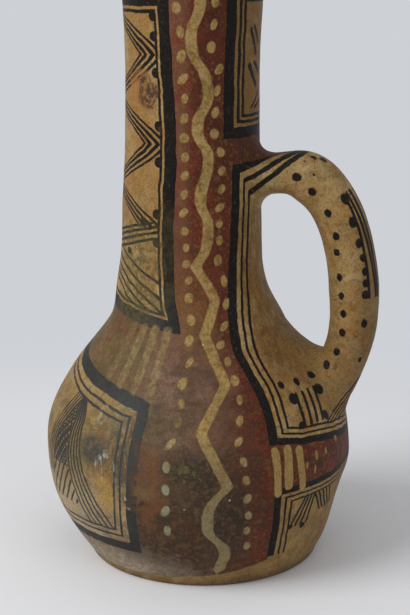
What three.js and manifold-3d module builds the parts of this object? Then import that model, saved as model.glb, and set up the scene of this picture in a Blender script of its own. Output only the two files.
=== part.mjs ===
// Painted earthenware vase with one handle, built by hand as a potter builds it: a slab base, wall lifts
// raised from coils, a lip coil, and a rolled handle that is pegged through the wall and luted on.
// Millimetres, +Z up. The origin is the centre of the base, and the handle points along +X.
import * as THREE from "three";
import { ParametricGeometry } from "three/addons/geometries/ParametricGeometry.js";
import { mergeVertices } from "three/addons/utils/BufferGeometryUtils.js";
import Module from "manifold-3d";

// Outer outline of the vessel: radius and height where it turns
const footRadius = 62;
const bellyRadius = 84;
const bellyHeight = 65;
const neckFootRadius = 38;
const neckFootHeight = 170;
const waistRadius = 35.3;
const waistHeight = 255;
const mouthRadius = 41.5;
const mouthHeight = 336;

// Fullness of the outline: how far each stretch runs straight on before it turns
const footSpread = 9;
const footRise = 12;
const bellyFullBelow = 29;
const bellyFullAbove = 38;
const shoulderSweep = 47;
const neckSweep = 35;
const waistSweep = 40;
const mouthFlare = 3.4;
const mouthSweep = 18;

// The neck stands a little off the base's centre, as a vessel raised by hand does
const leanOffset = -6.8;
const leanHeight = 212;

// Clay thicknesses and seams
const wallThickness = 6.5;
const floorThickness = 10;
const footEdgeRound = 3;
const slabHeight = 8;
const lipBeadRadius = 4.4;
const seamBevel = 6;
const slipGap = 0.3;

// Handle: a clay roll, oval in section, bowed out past the belly
const handleThickness = 25.4;
const handleWidth = 28;
const handleOverhang = 14.5;
const bowHeight = 137.5;
const bowRunAbove = 42.5;
const bowRunBelow = 19;
const upperRootHeight = 211.5;
const upperArmReach = 38;
const upperArmRise = 13.5;
const lowerRootHeight = 96.5;
const lowerArmReach = 6;
const lowerArmRise = 9.5;

// Pegs that key the handle into the wall, the wads that seal them inside, and the luting round each root
const pegRadius = 8;
const wadRadius = 13;
const wadHeight = 4.5;
const upperLuteReach = 11;
const upperLuteSpread = 10;
const lowerLuteReach = 12;
const lowerLuteSpread = 13;
const lowerLuteClimb = 32;
const lowerLuteFill = 0.5;
const luteFeather = 0.5;

// Lifts of the wall: the two that carry a handle root reach this far below and above it
const bellyLiftBelowRoot = 24;
const bellyLiftAboveRoot = 28;
const neckLiftBelowRoot = 41;
const neckLiftAboveRoot = 34;

// Fineness of the faceted surfaces
const turnSegments = 48;
const outlineStep = 9;
const rollSteps = 26;
const rollSegments = 14;
const pegSegments = 20;
const luteSlices = 48;
const filletSteps = 6;
const seatSteps = 5;
const beadSegments = 10;
const weldDistance = 1e-4;

// Clay body and painted slips, as the colours that show on each piece
const creamClay = new THREE.MeshStandardMaterial({ color: 0xb59a6c, roughness: 0.55, metalness: 0 });
const redSlip = new THREE.MeshStandardMaterial({ color: 0x6e3328, roughness: 0.5, metalness: 0 });
const bareClay = new THREE.MeshStandardMaterial({ color: 0xa37f55, roughness: 0.8, metalness: 0 });

const wasm = await Module();
wasm.setup();

// Solids and geometries

function solidOf(geometry) {
  const bare = geometry.clone();
  bare.deleteAttribute("normal");
  bare.deleteAttribute("uv");
  const merged = mergeVertices(bare, weldDistance);
  const mesh = new wasm.Mesh({
    numProp: 3,
    vertProperties: merged.attributes.position.array,
    triVerts: new Uint32Array(merged.index.array),
  });
  return new wasm.Manifold(mesh);
}

function geometryOf(solid) {
  const mesh = solid.getMesh();
  const geometry = new THREE.BufferGeometry();
  geometry.setAttribute("position", new THREE.BufferAttribute(mesh.vertProperties, 3));
  geometry.setIndex(new THREE.BufferAttribute(mesh.triVerts, 1));
  geometry.computeVertexNormals();
  return geometry;
}

// Outline: four curves from the foot to the mouth, each leaving its turning points upright

const at = (radius, height) => new THREE.Vector2(radius, height);
const outline = new THREE.CurvePath();
outline.add(
  new THREE.CubicBezierCurve(
    at(footRadius, 0),
    at(footRadius + footSpread, footRise),
    at(bellyRadius, bellyHeight - bellyFullBelow),
    at(bellyRadius, bellyHeight),
  ),
);
outline.add(
  new THREE.CubicBezierCurve(
    at(bellyRadius, bellyHeight),
    at(bellyRadius, bellyHeight + bellyFullAbove),
    at(neckFootRadius, neckFootHeight - shoulderSweep),
    at(neckFootRadius, neckFootHeight),
  ),
);
outline.add(
  new THREE.CubicBezierCurve(
    at(neckFootRadius, neckFootHeight),
    at(neckFootRadius, neckFootHeight + neckSweep),
    at(waistRadius, waistHeight - neckSweep),
    at(waistRadius, waistHeight),
  ),
);
outline.add(
  new THREE.CubicBezierCurve(
    at(waistRadius, waistHeight),
    at(waistRadius, waistHeight + waistSweep),
    at(mouthRadius - mouthFlare, mouthHeight - mouthSweep),
    at(mouthRadius, mouthHeight),
  ),
);

// Point of the outer face, or of a face set back from it by a depth of clay
function facePoint(share, depth = 0) {
  const point = outline.getPoint(share);
  const along = outline.getTangent(share);
  return at(point.x - along.y * depth, point.y + along.x * depth);
}

// Share of the outline's length at which a face reaches a height
function shareAt(height, depth = 0) {
  let low = 0;
  let high = 1;
  for (let halving = 0; halving < 40; halving++) {
    const middle = (low + high) / 2;
    if (facePoint(middle, depth).y < height) low = middle;
    else high = middle;
  }
  return (low + high) / 2;
}

const outerRadius = (height) => outline.getPoint(shareAt(height)).x;

function leanAt(height) {
  const share = THREE.MathUtils.clamp(height / leanHeight, 0, 1);
  return leanOffset * share * (2 - share);
}

// Points along a face between two shares of the outline
function faceRun(start, end, depth) {
  const steps = Math.max(1, Math.round((Math.abs(end - start) * outline.getLength()) / outlineStep));
  const points = [];
  for (let step = 0; step <= steps; step++) {
    points.push(facePoint(start + ((end - start) * step) / steps, depth));
  }
  return points;
}

// A profile of radius and height, turned about the axis and set over with the lean
function turned(profile) {
  const geometry = new THREE.LatheGeometry(profile, turnSegments);
  geometry.rotateX(Math.PI / 2);
  const position = geometry.attributes.position;
  for (let index = 0; index < position.count; index++) {
    position.setX(index, position.getX(index) + leanAt(position.getZ(index)));
  }
  return geometry;
}

// Solid that fills the vessel up to one of its faces, grown outwards by a clearance
function filledTo(depth, clearance) {
  const face = faceRun(shareAt(slabHeight), 1, depth - clearance);
  return solidOf(turned([at(0, face[0].y), ...face, at(0, face.at(-1).y)]));
}

// Wall of the vessel

// A seam slopes down inwards, so that each lift sits in the one below; on the slab it slopes up to the floor
const seamAt = (height) => ({ outer: shareAt(height), inner: shareAt(height - seamBevel) });
const halfGap = slipGap / outline.getLength() / 2;

// The wall below the lower root's lift, and the neck above the upper root's, are raised in two equal lifts
const bellyBottom = lowerRootHeight - bellyLiftBelowRoot;
const neckTop = upperRootHeight + neckLiftAboveRoot;
const slabSeam = { outer: shareAt(slabHeight), inner: shareAt(floorThickness, wallThickness) };
const footSeam = seamAt((slabHeight + bellyBottom) / 2);
const bellySeam = seamAt(bellyBottom);
const shoulderSeam = seamAt(lowerRootHeight + bellyLiftAboveRoot);
const neckSeam = seamAt(upperRootHeight - neckLiftBelowRoot);
const upperNeckSeam = seamAt(neckTop);
const mouthSeam = seamAt((neckTop + mouthHeight) / 2);
const mouthRim = seamAt(mouthHeight);

function wallLift(lower, upper) {
  const outer = faceRun(lower.outer + halfGap, upper.outer - halfGap, 0);
  const inner = faceRun(upper.inner - halfGap, lower.inner + halfGap, wallThickness);
  return turned([...outer, ...inner, outer[0]]);
}

function baseSlab() {
  const edge = faceRun(shareAt(footEdgeRound), slabSeam.outer - halfGap, 0);
  const seat = facePoint(slabSeam.inner - halfGap, wallThickness);
  const foot = [];
  for (let step = 0; step < seatSteps; step++) {
    const angle = (Math.PI / 2) * (step / seatSteps);
    const inset = footEdgeRound * (1 - Math.sin(angle));
    foot.push(at(edge[0].x - inset, footEdgeRound * (1 - Math.cos(angle))));
  }
  return turned([at(0, 0), ...foot, ...edge, seat, at(0, seat.y)]);
}

// Rounded bead that closes the mouth, seated on the last lift's bevelled edge
function lipCoil() {
  const outerSeat = facePoint(mouthRim.outer);
  const innerSeat = facePoint(mouthRim.inner, wallThickness);
  innerSeat.y += slipGap;
  const middle = at((outerSeat.x + innerSeat.x) / 2, outerSeat.y + slipGap);
  const halfWall = (outerSeat.x - innerSeat.x) / 2;
  const rise = Math.sqrt(Math.max(0, lipBeadRadius ** 2 - halfWall ** 2));
  const dip = Math.asin(Math.min(1, rise / lipBeadRadius));
  const bead = [];
  for (let step = 0; step <= beadSegments; step++) {
    const angle = -dip + (Math.PI + 2 * dip) * (step / beadSegments);
    const out = lipBeadRadius * Math.cos(angle);
    const up = rise + lipBeadRadius * Math.sin(angle);
    bead.push(at(middle.x + out, middle.y + up));
  }
  return turned([...bead, innerSeat, bead[0]]);
}

// Handle

const wallX = (height) => outerRadius(height) + leanAt(height);
const upperRoot = new THREE.Vector3(wallX(upperRootHeight), 0, upperRootHeight);
const lowerRoot = new THREE.Vector3(wallX(lowerRootHeight), 0, lowerRootHeight);
const bowX = bellyRadius + leanAt(bellyHeight) + handleOverhang - handleThickness / 2;
const bow = new THREE.Vector3(bowX, 0, bowHeight);
const beside = (point, x, z) => new THREE.Vector3(point.x + x, 0, point.z + z);

const centreLine = new THREE.CurvePath();
centreLine.add(
  new THREE.CubicBezierCurve3(
    upperRoot,
    beside(upperRoot, upperArmReach, upperArmRise),
    beside(bow, 0, bowRunAbove),
    bow,
  ),
);
centreLine.add(
  new THREE.CubicBezierCurve3(
    bow,
    beside(bow, 0, -bowRunBelow),
    beside(lowerRoot, lowerArmReach, lowerArmRise),
    lowerRoot,
  ),
);

// The two roots, each with the direction in which its peg goes through the wall
const upperEnd = {
  root: upperRoot,
  shareOut: (away) => away,
  inwardAt: (share) => centreLine.getTangent(share).negate(),
};
const lowerEnd = {
  root: lowerRoot,
  shareOut: (away) => 1 - away,
  inwardAt: (share) => centreLine.getTangent(share),
};
upperEnd.inward = upperEnd.inwardAt(0);
lowerEnd.inward = lowerEnd.inwardAt(1);

// Point on the roll's skin near a root: a distance out along the centre line, then an angle round it
function rollPoint(end, distance, angle, clearance) {
  const share = end.shareOut(Math.max(0, distance) / centreLine.getLength());
  const centre = centreLine.getPoint(share);
  const inward = end.inwardAt(share);
  centre.addScaledVector(end.inward, Math.max(0, -distance));
  const across = new THREE.Vector3(-inward.z, 0, inward.x);
  centre.addScaledVector(across, (handleThickness / 2 + clearance) * Math.cos(angle));
  centre.y += (handleWidth / 2 + clearance) * Math.sin(angle);
  return centre;
}

// How far a point stands outside the vessel's outer face, measured level
function standOff(point) {
  return Math.hypot(point.x - leanAt(point.z), point.y) - outerRadius(point.z);
}

function ontoWall(point, clearance) {
  const bearing = Math.atan2(point.y, point.x - leanAt(point.z));
  const radius = outerRadius(point.z) + clearance;
  return new THREE.Vector3(
    leanAt(point.z) + radius * Math.cos(bearing),
    radius * Math.sin(bearing),
    point.z,
  );
}

// Distance from a root at which the roll's skin, at an angle round, meets the wall
function meetingDistance(end, angle, reach) {
  let inside = -handleWidth;
  let outside = reach;
  for (let halving = 0; halving < 30; halving++) {
    const middle = (inside + outside) / 2;
    if (standOff(rollPoint(end, middle, angle, slipGap)) < slipGap) inside = middle;
    else outside = middle;
  }
  return (inside + outside) / 2;
}

// Peg along a root's direction, from inside the vessel to inside the roll
function peg(end, clearance) {
  const length = 2 * (wallThickness + handleThickness / 2);
  const rod = new THREE.CylinderGeometry(pegRadius + clearance, pegRadius + clearance, length, pegSegments);
  const up = new THREE.Vector3(0, 1, 0);
  rod.applyQuaternion(new THREE.Quaternion().setFromUnitVectors(up, end.inward));
  rod.translate(end.root.x, end.root.y, end.root.z);
  return solidOf(rod);
}

// The roll is cut to saddle the wall, and its pegs end flush with the wall's inner face
function handleRoll() {
  const section = new THREE.Shape();
  section.absellipse(0, 0, handleWidth / 2, handleThickness / 2, 0, 2 * Math.PI);
  const roll = solidOf(
    new THREE.ExtrudeGeometry(section, {
      extrudePath: centreLine,
      steps: rollSteps,
      curveSegments: rollSegments,
    }),
  );
  const saddled = roll.subtract(filledTo(0, slipGap));
  const inside = filledTo(wallThickness, 0);
  const pegs = peg(upperEnd, 0).add(peg(lowerEnd, 0)).subtract(inside);
  return geometryOf(saddled.add(pegs));
}

// Ring of clay smoothed round a root: a fillet from the roll's skin to the wall, feathered at both edges.
// In the angle under the hand it climbs further up the wall, and fills more of the angle.
function handleLute(end, reach, spread, climb, fill) {
  const sectionSteps = filletSteps + 2 * seatSteps;
  const onSection = (u, v, target) => {
    const angle = 2 * Math.PI * (1 - u);
    const step = Math.round(v * sectionSteps) % sectionSteps;
    const meeting = meetingDistance(end, angle, reach);
    const start = meeting + reach;
    const corner = rollPoint(end, meeting, angle, slipGap);
    const heart = rollPoint(end, meeting, angle, -handleThickness / 2);
    const outwards = corner.clone().sub(heart).normalize();
    const underHand = Math.max(0, -Math.cos(angle));
    const toe = corner.clone().addScaledVector(outwards, spread + climb * underHand ** 2);
    if (step <= filletSteps) {
      const share = step / filletSteps;
      const rollEdge = rollPoint(end, start, angle, slipGap + luteFeather);
      const wallEdge = ontoWall(toe, slipGap + luteFeather);
      const middle = rollEdge.clone().lerp(wallEdge, 0.5);
      const hollow = corner.clone().lerp(middle, fill * underHand ** 2);
      const fillet = new THREE.QuadraticBezierCurve3(rollEdge, hollow, wallEdge);
      target.copy(fillet.getPoint(share));
    } else if (step <= filletSteps + seatSteps) {
      const share = (step - filletSteps) / seatSteps;
      target.copy(ontoWall(toe.lerp(corner, share), slipGap));
    } else {
      const share = (step - filletSteps - seatSteps) / seatSteps;
      target.copy(rollPoint(end, meeting + (start - meeting) * share, angle, slipGap));
    }
  };
  return new ParametricGeometry(onSection, luteSlices, sectionSteps);
}

// Wad of clay pressed over a peg's end, inside the vessel
function pegWad(end) {
  const lens = new THREE.SphereGeometry(1, pegSegments, beadSegments);
  lens.scale(wadRadius, wadRadius, wadHeight);
  const ahead = new THREE.Vector3(0, 0, 1);
  lens.applyQuaternion(new THREE.Quaternion().setFromUnitVectors(ahead, end.inward));
  const along = wallThickness / Math.abs(end.inward.x);
  const seat = end.root.clone().addScaledVector(end.inward, along);
  lens.translate(seat.x, seat.y, seat.z);
  return geometryOf(solidOf(lens).intersect(filledTo(wallThickness, -slipGap)));
}

function mortised(geometry, end) {
  return geometryOf(solidOf(geometry).subtract(peg(end, slipGap)));
}

// Assembly

const vase = new THREE.Group();

function addPiece(name, geometry, material) {
  const mesh = new THREE.Mesh(geometry, material);
  mesh.name = name;
  vase.add(mesh);
}

addPiece("base_slab", baseSlab(), bareClay);
addPiece("foot_wall", wallLift(slabSeam, footSeam), redSlip);
addPiece("lower_belly_wall", wallLift(footSeam, bellySeam), redSlip);
addPiece("upper_belly_wall", mortised(wallLift(bellySeam, shoulderSeam), lowerEnd), redSlip);
addPiece("shoulder_wall", wallLift(shoulderSeam, neckSeam), creamClay);
addPiece("lower_neck_wall", mortised(wallLift(neckSeam, upperNeckSeam), upperEnd), creamClay);
addPiece("upper_neck_wall", wallLift(upperNeckSeam, mouthSeam), redSlip);
addPiece("mouth_wall", wallLift(mouthSeam, mouthRim), redSlip);
addPiece("lip_coil", lipCoil(), bareClay);
addPiece("handle_roll", handleRoll(), creamClay);
addPiece("upper_handle_lute", handleLute(upperEnd, upperLuteReach, upperLuteSpread, 0, 0), creamClay);
addPiece(
  "lower_handle_lute",
  handleLute(lowerEnd, lowerLuteReach, lowerLuteSpread, lowerLuteClimb, lowerLuteFill),
  creamClay,
);
addPiece("upper_peg_wad", pegWad(upperEnd), bareClay);
addPiece("lower_peg_wad", pegWad(lowerEnd), bareClay);

export default vase;
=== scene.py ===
import bmesh
import bpy
import math
from bisect import bisect
from mathutils import Matrix, Vector, noise
from mathutils.geometry import interpolate_bezier


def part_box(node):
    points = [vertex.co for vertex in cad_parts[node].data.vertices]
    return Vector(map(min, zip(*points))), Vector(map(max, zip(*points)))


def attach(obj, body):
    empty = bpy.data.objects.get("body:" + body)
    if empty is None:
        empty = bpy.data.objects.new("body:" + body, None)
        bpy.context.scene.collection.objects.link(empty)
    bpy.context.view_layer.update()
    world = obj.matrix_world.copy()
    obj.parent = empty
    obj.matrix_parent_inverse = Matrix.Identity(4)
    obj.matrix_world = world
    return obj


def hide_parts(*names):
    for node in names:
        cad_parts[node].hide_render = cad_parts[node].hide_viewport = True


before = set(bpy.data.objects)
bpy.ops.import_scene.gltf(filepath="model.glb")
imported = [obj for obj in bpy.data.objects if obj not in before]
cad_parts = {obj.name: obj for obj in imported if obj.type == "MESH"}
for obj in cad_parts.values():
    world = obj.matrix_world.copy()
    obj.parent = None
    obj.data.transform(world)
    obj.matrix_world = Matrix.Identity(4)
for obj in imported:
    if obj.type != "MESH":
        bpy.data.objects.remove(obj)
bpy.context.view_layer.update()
mm = 0.001  # the script works in millimetres and scales each finished mesh to metres
print("frame loaded:", len(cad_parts), "pieces of clay")

# Outline of the vessel: radius and height where it turns, and how far each stretch runs on before it turns
vessel = dict(
    foot=(62, 0), belly=(84, 65), neckFoot=(38, 170), waist=(35.3, 255), mouth=(41.5, 336),
    footPull=(9, 12), bellyBelow=29, bellyAbove=38, shoulderSweep=47,
    neckSweep=35, waistSweep=40, mouthPull=(3.4, 18),
    lean=-6.8, leanHeight=212,  # how far the neck stands off the base's centre
    wall=6.5, footRound=3, lipBead=4.4, beadSteps=28,
    around=240, rowHeight=1.7, innerRowHeight=3.5, footRowHeight=1.2,
    # height, reach and shift towards the handle; what stands off the wall by the fade doesn't drift
    drifts=[(34, 20, -2.0), (92, 16, 0.8), (136, 10, 1.5), (300, 30, 0.6)], driftFade=25,
    # bearing, height, reach and push outwards
    bulges=[(-6, 93, 17, 1.6), (-8, 52, 12, 1.8), (-8, 28, 12, -2.2),
            (172, 128, 15, -1.8), (172, 157, 16, 1.8), (-8, 245, 45, 1.0)],
    dents=0.5, dentSize=34, fingerMarks=0.13, fingerSize=8,
    flatFoot=2, settling=14)  # the foot stays flat up to here, then the shaping comes in over this height


def beside(point, across, up):
    return (point[0] + across, point[1] + up)


def curveThrough(*knots, count=90):
    return interpolate_bezier(*[Vector(knot) for knot in knots], count)


def outlinePoints():
    v = vessel
    mouthPull = beside(v["mouth"], -v["mouthPull"][0], -v["mouthPull"][1])
    stretches = [
        (v["foot"], beside(v["foot"], *v["footPull"]), beside(v["belly"], 0, -v["bellyBelow"]), v["belly"]),
        (v["belly"], beside(v["belly"], 0, v["bellyAbove"]),
         beside(v["neckFoot"], 0, -v["shoulderSweep"]), v["neckFoot"]),
        (v["neckFoot"], beside(v["neckFoot"], 0, v["neckSweep"]),
         beside(v["waist"], 0, -v["neckSweep"]), v["waist"]),
        (v["waist"], beside(v["waist"], 0, v["waistSweep"]), mouthPull, v["mouth"])]
    points = [Vector(v["foot"])]
    for stretch in stretches:
        points += curveThrough(*stretch)[1:]
    return points


outline = outlinePoints()


def faceTable(depth):  # height and radius along a face set back into the clay by a depth
    table = []
    for i, point in enumerate(outline):
        way = (outline[min(i + 1, len(outline) - 1)] - outline[max(i - 1, 0)]).normalized()
        table.append((point.y + way.x * depth, point.x - way.y * depth))
    return sorted(table)


def climbTable():  # height and length of the way up the outer face
    table, climbed = [], 0
    for before, point in zip(outline[:1] + outline, outline):
        climbed += (point - before).length
        table.append((point.y, climbed))
    return table


def readOff(table, key):
    i = min(max(bisect(table, (key,)), 1), len(table) - 1)
    (lowKey, low), (highKey, high) = table[i - 1], table[i]
    return low + (high - low) * (key - lowKey) / (highKey - lowKey)


outerFace = faceTable(0)
innerFace = faceTable(vessel["wall"])
climb = climbTable()


def leanAt(height):
    share = min(max(height / vessel["leanHeight"], 0), 1)
    return vessel["lean"] * share * (2 - share)


def facePoint(bearing, height):  # on the outer face; bearings run from the handle round by the near side
    radius = readOff(outerFace, height)
    turn = math.radians(bearing)
    return Vector((leanAt(height) + radius * math.cos(turn), -radius * math.sin(turn), height))


bulges = [(facePoint(bearing, height), reach, push) for bearing, height, reach, push in vessel["bulges"]]


def handShaped(co):  # the slow dents and finger marks of a vessel raised by hand
    v = vessel
    settle = min(1, max(0, co.z - v["flatFoot"]) / v["settling"])
    out = Vector((co.x - leanAt(co.z), co.y, 0))
    onWall = min(1, max(0, 1 - (out.length - readOff(outerFace, co.z)) / v["driftFade"]))
    dent = v["dents"] * noise.noise(co / v["dentSize"]) + v["fingerMarks"] * noise.noise(co / v["fingerSize"])
    dent += sum(push * math.exp(-((co - spot).length / reach) ** 2) for spot, reach, push in bulges)
    drift = sum(shift * math.exp(-((co.z - height) / reach) ** 2) for height, reach, shift in v["drifts"])
    return co + (out.normalized() * dent + Vector((drift * onWall, 0, 0))) * settle


# Meshes
weldDistance = 0.002
sharpAngle = math.radians(38)


def isSharp(edge):
    return len(edge.link_faces) == 2 and edge.calc_face_angle(0) > sharpAngle


def onlyKind(items, kind):
    return [item for item in items if isinstance(item, kind)]


def putInScene(name, data):
    thing = bpy.data.objects.new(name, data)
    bpy.context.scene.collection.objects.link(thing)
    return thing


def finishedMesh(bm, name, skins):
    mesh = bpy.data.meshes.new(name)
    bm.to_mesh(mesh)
    bm.free()
    for skin in skins:
        mesh.materials.append(skin)
    return mesh


def fired(bm, name, slot, *skins, isInside=None):  # turns a bmesh into the piece that stands for a CAD node
    bmesh.ops.remove_doubles(bm, verts=bm.verts, dist=weldDistance)
    bmesh.ops.recalc_face_normals(bm, faces=bm.faces)
    for edge in bm.edges:
        edge.smooth = not isSharp(edge)
    for face in bm.faces:
        face.smooth = True
        face.material_index = 1 if isInside and isInside(face.calc_center_median()) else 0
    bmesh.ops.scale(bm, vec=(mm, mm, mm), verts=bm.verts)
    mesh = finishedMesh(bm, name, skins)
    piece = putInScene("clay_" + name, mesh)
    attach(piece, "root")
    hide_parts(name)
    print("made", piece.name, len(mesh.polygons), "faces")
    return piece


def turned(profile, closed):  # a profile of radius and height, spun about the axis, leaned and shaped
    bm = bmesh.new()
    verts = [bm.verts.new((radius, 0, height)) for radius, height in profile]
    ends = zip(verts, verts[1:] + (verts[:1] if closed else []))
    edges = [bm.edges.new(pair) for pair in ends]
    bmesh.ops.spin(bm, geom=verts + edges, cent=(0, 0, 0), axis=(0, 0, 1), angle=2 * math.pi,
                   steps=vessel["around"], use_merge=True)
    for vert in bm.verts:
        vert.co = handShaped(vert.co + Vector((leanAt(vert.co.z), 0, 0)))
    return bm


def faceRun(table, start, end, rowHeight):
    rows = max(1, round(abs(end - start) / rowHeight))
    heights = [start + (end - start) * row / rows for row in range(rows + 1)]
    return [(readOff(table, height), height) for height in heights]


def loops(rows, count):  # a ring of edges pulled from row to row; each row gives the places of its points
    bm = bmesh.new()
    place = bm.verts.layers.int.new("place")
    ring = bmesh.ops.create_circle(bm, segments=count, radius=1)["verts"]
    for i, vert in enumerate(ring):
        vert[place] = i
    edges = bm.edges[:]
    for number, row in enumerate(rows):
        if number:
            made = bmesh.ops.extrude_edge_only(bm, edges=edges)["geom"]
            ring = onlyKind(made, bmesh.types.BMVert)
            fresh = set(ring)
            edges = [edge for edge in onlyKind(made, bmesh.types.BMEdge) if fresh.issuperset(edge.verts)]
        for vert in ring:
            vert.co = row[vert[place]]
    return bm


def closeEnds(bm):
    bmesh.ops.holes_fill(bm, edges=[edge for edge in bm.edges if edge.is_boundary])


# Shader maths

class Wire:  # a socket of a material's nodes, which can be used in expressions
    def __init__(self, tree, socket=None):
        self.tree = tree
        self.socket = socket

    def node(self, kind, inputs={}, output=0, **settings):
        made = self.tree.nodes.new("ShaderNode" + kind)
        for name, value in settings.items():
            if name == "stops":
                fillRamp(made.color_ramp, value)
            elif name == "points":
                fillCurve(made.mapping, value)
            else:
                setattr(made, name, value)
        for name, value in inputs.items():
            if isinstance(value, Wire):
                self.tree.links.new(value.socket, made.inputs[name])
            else:
                made.inputs[name].default_value = value
        return Wire(self.tree, made.outputs[output] if made.outputs else None)

    def math(self, operation, *values):
        return self.node("Math", dict(enumerate(values)), operation=operation)

    def __add__(self, other):
        return self.math("ADD", self, other)

    def __sub__(self, other):
        return self.math("SUBTRACT", self, other)

    def __rsub__(self, other):
        return self.math("SUBTRACT", other, self)

    def __mul__(self, other):
        return self.math("MULTIPLY", self, other)

    def __truediv__(self, other):
        return self.math("DIVIDE", self, other)

    def __pow__(self, other):
        return self.math("POWER", self, other)

    def __abs__(self):
        return self.math("ABSOLUTE", self)

    __radd__ = __add__
    __rmul__ = __mul__

    def ramp(self, start, end):  # rises from 0 to 1 between two values, and is held outside them
        rise = self.node("MapRange", {"Value": self, "From Min": start, "From Max": end}, clamp=False)
        return rise.node("Clamp", {"Value": rise})

    def over(self, edge, soft=0.22):  # 1 where the value is over an edge, with a soft step
        return self.ramp(edge - soft, edge + soft)

    def under(self, edge, soft=0.22):
        return self.ramp(edge + soft, edge - soft)

    def fract(self):
        return self.math("FRACT", self)

    def floor(self):
        return self.math("FLOOR", self)

    def place(self):  # where a point of the object lies
        return self.node("TexCoord", output="Object")

    def vector(self, operation, other):
        return self.node("VectorMath", {0: self, 1: other}, operation=operation)

    def scaled(self, factor):
        return self.node("VectorMath", {0: self, "Scale": factor}, operation="SCALE")

    def lay(self, slip, mask):  # another slip over this colour
        return blend(self, tone[slip], mask)


def fillRamp(ramp, stops):
    while len(ramp.elements) < len(stops):
        ramp.elements.new(0.5)
    for element, (position, value) in zip(ramp.elements, stops):
        element.position = position
        element.color = (value, value, value, 1)


def fillCurve(mapping, points):  # a point with a third entry keeps a sharp corner
    curve = mapping.curves[0]
    while len(curve.points) < len(points):
        curve.points.new(0.5, 0.5)
    for spot, place in zip(curve.points, sorted(points)):
        spot.location = place[:2]
        spot.handle_type = "VECTOR" if len(place) > 2 else "AUTO"
    mapping.update()


def least(first, *others):
    for other in others:
        first = first.math("MINIMUM", first, other)
    return first


def most(first, *others):
    for other in others:
        first = first.math("MAXIMUM", first, other)
    return first


def union(masks):  # the strongest of a run of masks, each made only when it is needed
    whole = None
    for mask in masks:
        whole = mask if whole is None else most(whole, mask)
    return whole


def hypot(across, up):
    return (across * across + up * up) ** 0.5


def shade(red, green, blue):  # a colour as a screen shows it, made linear
    def linear(value):
        value /= 255
        return value / 12.92 if value <= 0.04045 else ((value + 0.055) / 1.055) ** 2.4
    return (linear(red), linear(green), linear(blue), 1)


def blend(base, top, mask):
    return mask.node("Mix", {0: mask, 6: base, 7: top}, 2, data_type="RGBA")


def laid(colour, layers):  # slips laid one over another, each through its mask
    for slip, mask in layers:
        colour = blend(colour, tone[slip], mask)
    return colour


def mottle(place, size, detail=3, rough=0.55):
    inputs = {"Vector": place, "Scale": 1 / size, "Detail": detail, "Roughness": rough}
    return place.node("TexNoise", inputs)


def newMaterial(name):
    material = bpy.data.materials.new(name)
    material.use_nodes = True
    material.node_tree.nodes.clear()
    return material


claySheen = 0.12


def closeMaterial(material, colour, roughness, height, depth):
    tree = Wire(material.node_tree)
    bump = tree.node("Bump", {"Height": height, "Distance": depth * mm, "Strength": 1.0})
    inputs = {"Base Color": colour, "Roughness": roughness, "Normal": bump, "Specular IOR Level": claySheen}
    surface = tree.node("BsdfPrincipled", inputs)
    tree.node("OutputMaterial", {"Surface": surface})
    return material


# Painted slips, as they show in plain light
slips = dict(
    cream=(152, 126, 80), ochre=(138, 101, 50), pale=(176, 154, 110), umber=(80, 55, 30), rust=(150, 98, 48),
    tan=(92, 63, 29), red=(94, 33, 22), oxblood=(55, 20, 14), brick=(118, 60, 38), redBrown=(80, 60, 45),
    pink=(128, 105, 88), worn=(122, 94, 52), dusk=(43, 41, 33), black=(11, 10, 10), slate=(58, 61, 59),
    moss=(98, 90, 50), olive=(82, 73, 44), wash=(106, 87, 56), paint=(148, 120, 64), dust=(176, 153, 108),
    bar=(130, 110, 70), ash=(138, 130, 96), lichen=(142, 146, 122), ember=(108, 70, 42), blush=(124, 84, 62),
    chalk=(186, 182, 168), dusty=(180, 166, 144), yellow=(164, 128, 56), stain=(66, 43, 34),
    raw=(146, 114, 80), rawDark=(108, 78, 52))
tone = {name: shade(*value) for name, value in slips.items()}

# How the pattern lies: bearings are in degrees from the handle, climbs in mm up the outer face. Paths give a
# climb and how far aside, counts a climb and a dot's number; a third entry marks a sharp corner
pattern = dict(
    tremble=0.8, trembleSize=13, shake=0.38, shakeSize=3.2,
    climbSpan=400, heightSpan=360, climbStep=14,
    frontBearing=80, bandTop=330, zigzagHalf=2.95, zigzagEnd=(10.5, 4),
    zigzag=[(10, 6.5), (20, 10.5), (27.5, 12.4), (43.5, 4), (67.5, 15.6, 1), (95, 2.8, 1), (121, 16.4, 1),
            (148, 6, 1), (166.5, 12.6, 1), (184, 2, 1), (205, 9), (219, 5), (241, 9), (256, 3), (274, 9),
            (301, 0), (320, 5), (338, 1)],
    leftPath=[(0, -17), (42, -17), (66, -16), (78, -15.5), (90, -12.8), (101, -8.8), (122, -5.4), (134, -2.7),
              (168, -1.3), (195, -3.4), (251, -3.2), (281, -3.8), (304, -5.6), (317, -7.4), (353, -8)],
    leftCount=[(0, 29.5), (42, 26, 1), (66, 24, 1), (101.5, 21, 1), (110, 20, 1), (145, 17, 1), (168, 15, 1),
               (177, 14, 1), (203, 11, 1), (241.5, 7, 1), (281, 3, 1), (316.5, 0, 1), (353, -3)],
    rightPath=[(0, 24), (41, 24.4), (51, 25.8), (80, 24), (90, 21.8), (101, 23.3), (123, 22), (133, 18),
               (143, 14.6), (163, 19.6), (188, 14.4), (215, 15.7), (240, 16.4), (253, 12.8), (274, 13.2),
               (286, 15.2), (297, 10.8), (319, 12.6), (353, 12)],
    rightCount=[(0, 31), (30.6, 28, 1), (60, 25, 1), (90, 22, 1), (112, 20, 1), (133.5, 18, 1), (152, 16, 1),
                (187.5, 13, 1), (197.5, 12, 1), (215, 10, 1), (253, 6, 1), (286, 3, 1), (319.5, 0, 1),
                (353, -3)],
    dotHalfWidth=2.0, dotHalfHeight=2.65, dotPitch=10.3, leftFrom=36, rightFrom=25)


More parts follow.
